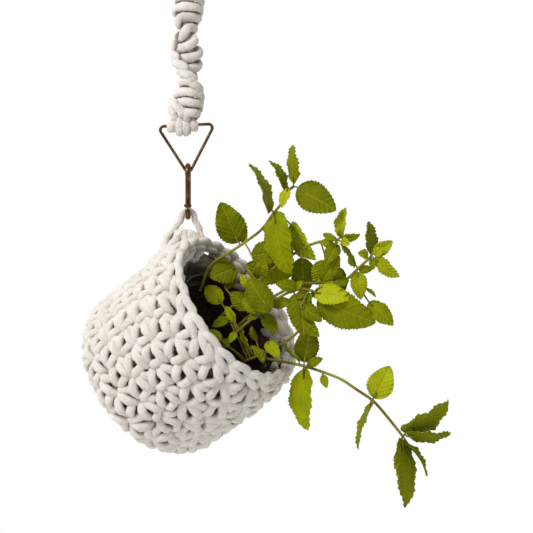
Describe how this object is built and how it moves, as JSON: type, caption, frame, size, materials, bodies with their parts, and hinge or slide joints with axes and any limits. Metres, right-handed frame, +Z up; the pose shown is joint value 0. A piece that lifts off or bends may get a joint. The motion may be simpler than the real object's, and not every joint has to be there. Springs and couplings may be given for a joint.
{
  "type": "hanging macrame planter",
  "caption": "Crocheted pod planter hung by a knotted spiral cord strap, a wire triangle and a snap link, holding a potted mint plant.",
  "frame": {"origin": "inner top of the hanging ring, where it bears on a hook", "axes": "+Z up along the strap, +X to the right seen from the front, -Y towards the front"},
  "size_m": [0.2901, 0.1749, 0.4715],
  "materials": {
    "bronze": "dark antique bronze, lightly worn",
    "cotton_cord": "soft unbleached cotton",
    "pot": "matt moulded",
    "compost": "rough crumb",
    "mint_stem": "satin",
    "mint_leaf": "satin, veined"
  },
  "bodies": {
    "ring": {"hanging_ring": "bronze"},
    "strap": {"ring_knot": "cotton_cord", "macrame_sinnet": "cotton_cord", "triangle_knot": "cotton_cord"},
    "triangle": {"triangle_ring": "bronze"},
    "clip": {"clip_body": "bronze", "clip_pin": "bronze", "gate_spring": "bronze"},
    "gate": {"clip_gate": "bronze"},
    "basket": {"basket_loop": "cotton_cord", "crochet_basket": "cotton_cord", "basket_edging": "cotton_cord"},
    "pot": {"nursery_pot": "pot", "potting_soil": "compost", "mint_stem_upright": "mint_stem", "mint_stem_back": "mint_stem", "mint_stem_side": "mint_stem", "mint_stem_middle": "mint_stem", "mint_stem_low": "mint_stem", "mint_stem_trailing": "mint_stem", "mint_leaves_upright": "mint_leaf", "mint_leaves_back": "mint_leaf", "mint_leaves_side": "mint_leaf", "mint_leaves_middle": "mint_leaf", "mint_leaves_low": "mint_leaf", "mint_leaves_trailing": "mint_leaf"}
  },
  "joints": [
    {"name": "strap_swing", "type": "hinge", "parent": "ring", "child": "strap", "pos_m": [0, 0, -0.03075], "axis": [1, 0, 0], "range_deg": [-30, 30]},
    {"name": "triangle_swing", "type": "hinge", "parent": "strap", "child": "triangle", "pos_m": [-0.0011, 0, -0.171], "axis": [0.9987, 0, 0.0506], "range_deg": [-60, 60]},
    {"name": "clip_swing", "type": "hinge", "parent": "triangle", "child": "clip", "pos_m": [0.0004, 0, -0.2034], "axis": [0, 1, 0], "range_deg": [-35, 35]},
    {"name": "gate_open", "type": "hinge", "parent": "clip", "child": "gate", "pos_m": [0.0004, -0.006, -0.2354], "axis": [-1, 0, 0], "range_deg": [0, 17], "stiffness_Nm_per_rad": 0.02, "springref_deg": -17.19},
    {"name": "basket_swing", "type": "hinge", "parent": "clip", "child": "basket", "pos_m": [0.0004, 0, -0.2385], "axis": [1, 0, 0], "range_deg": [-25, 25]},
    {"name": "pot_lift", "type": "slide", "parent": "basket", "child": "pot", "axis": [0.7002, -0.4849, 0.524], "range_m": [0, 0.12]}
  ]
}
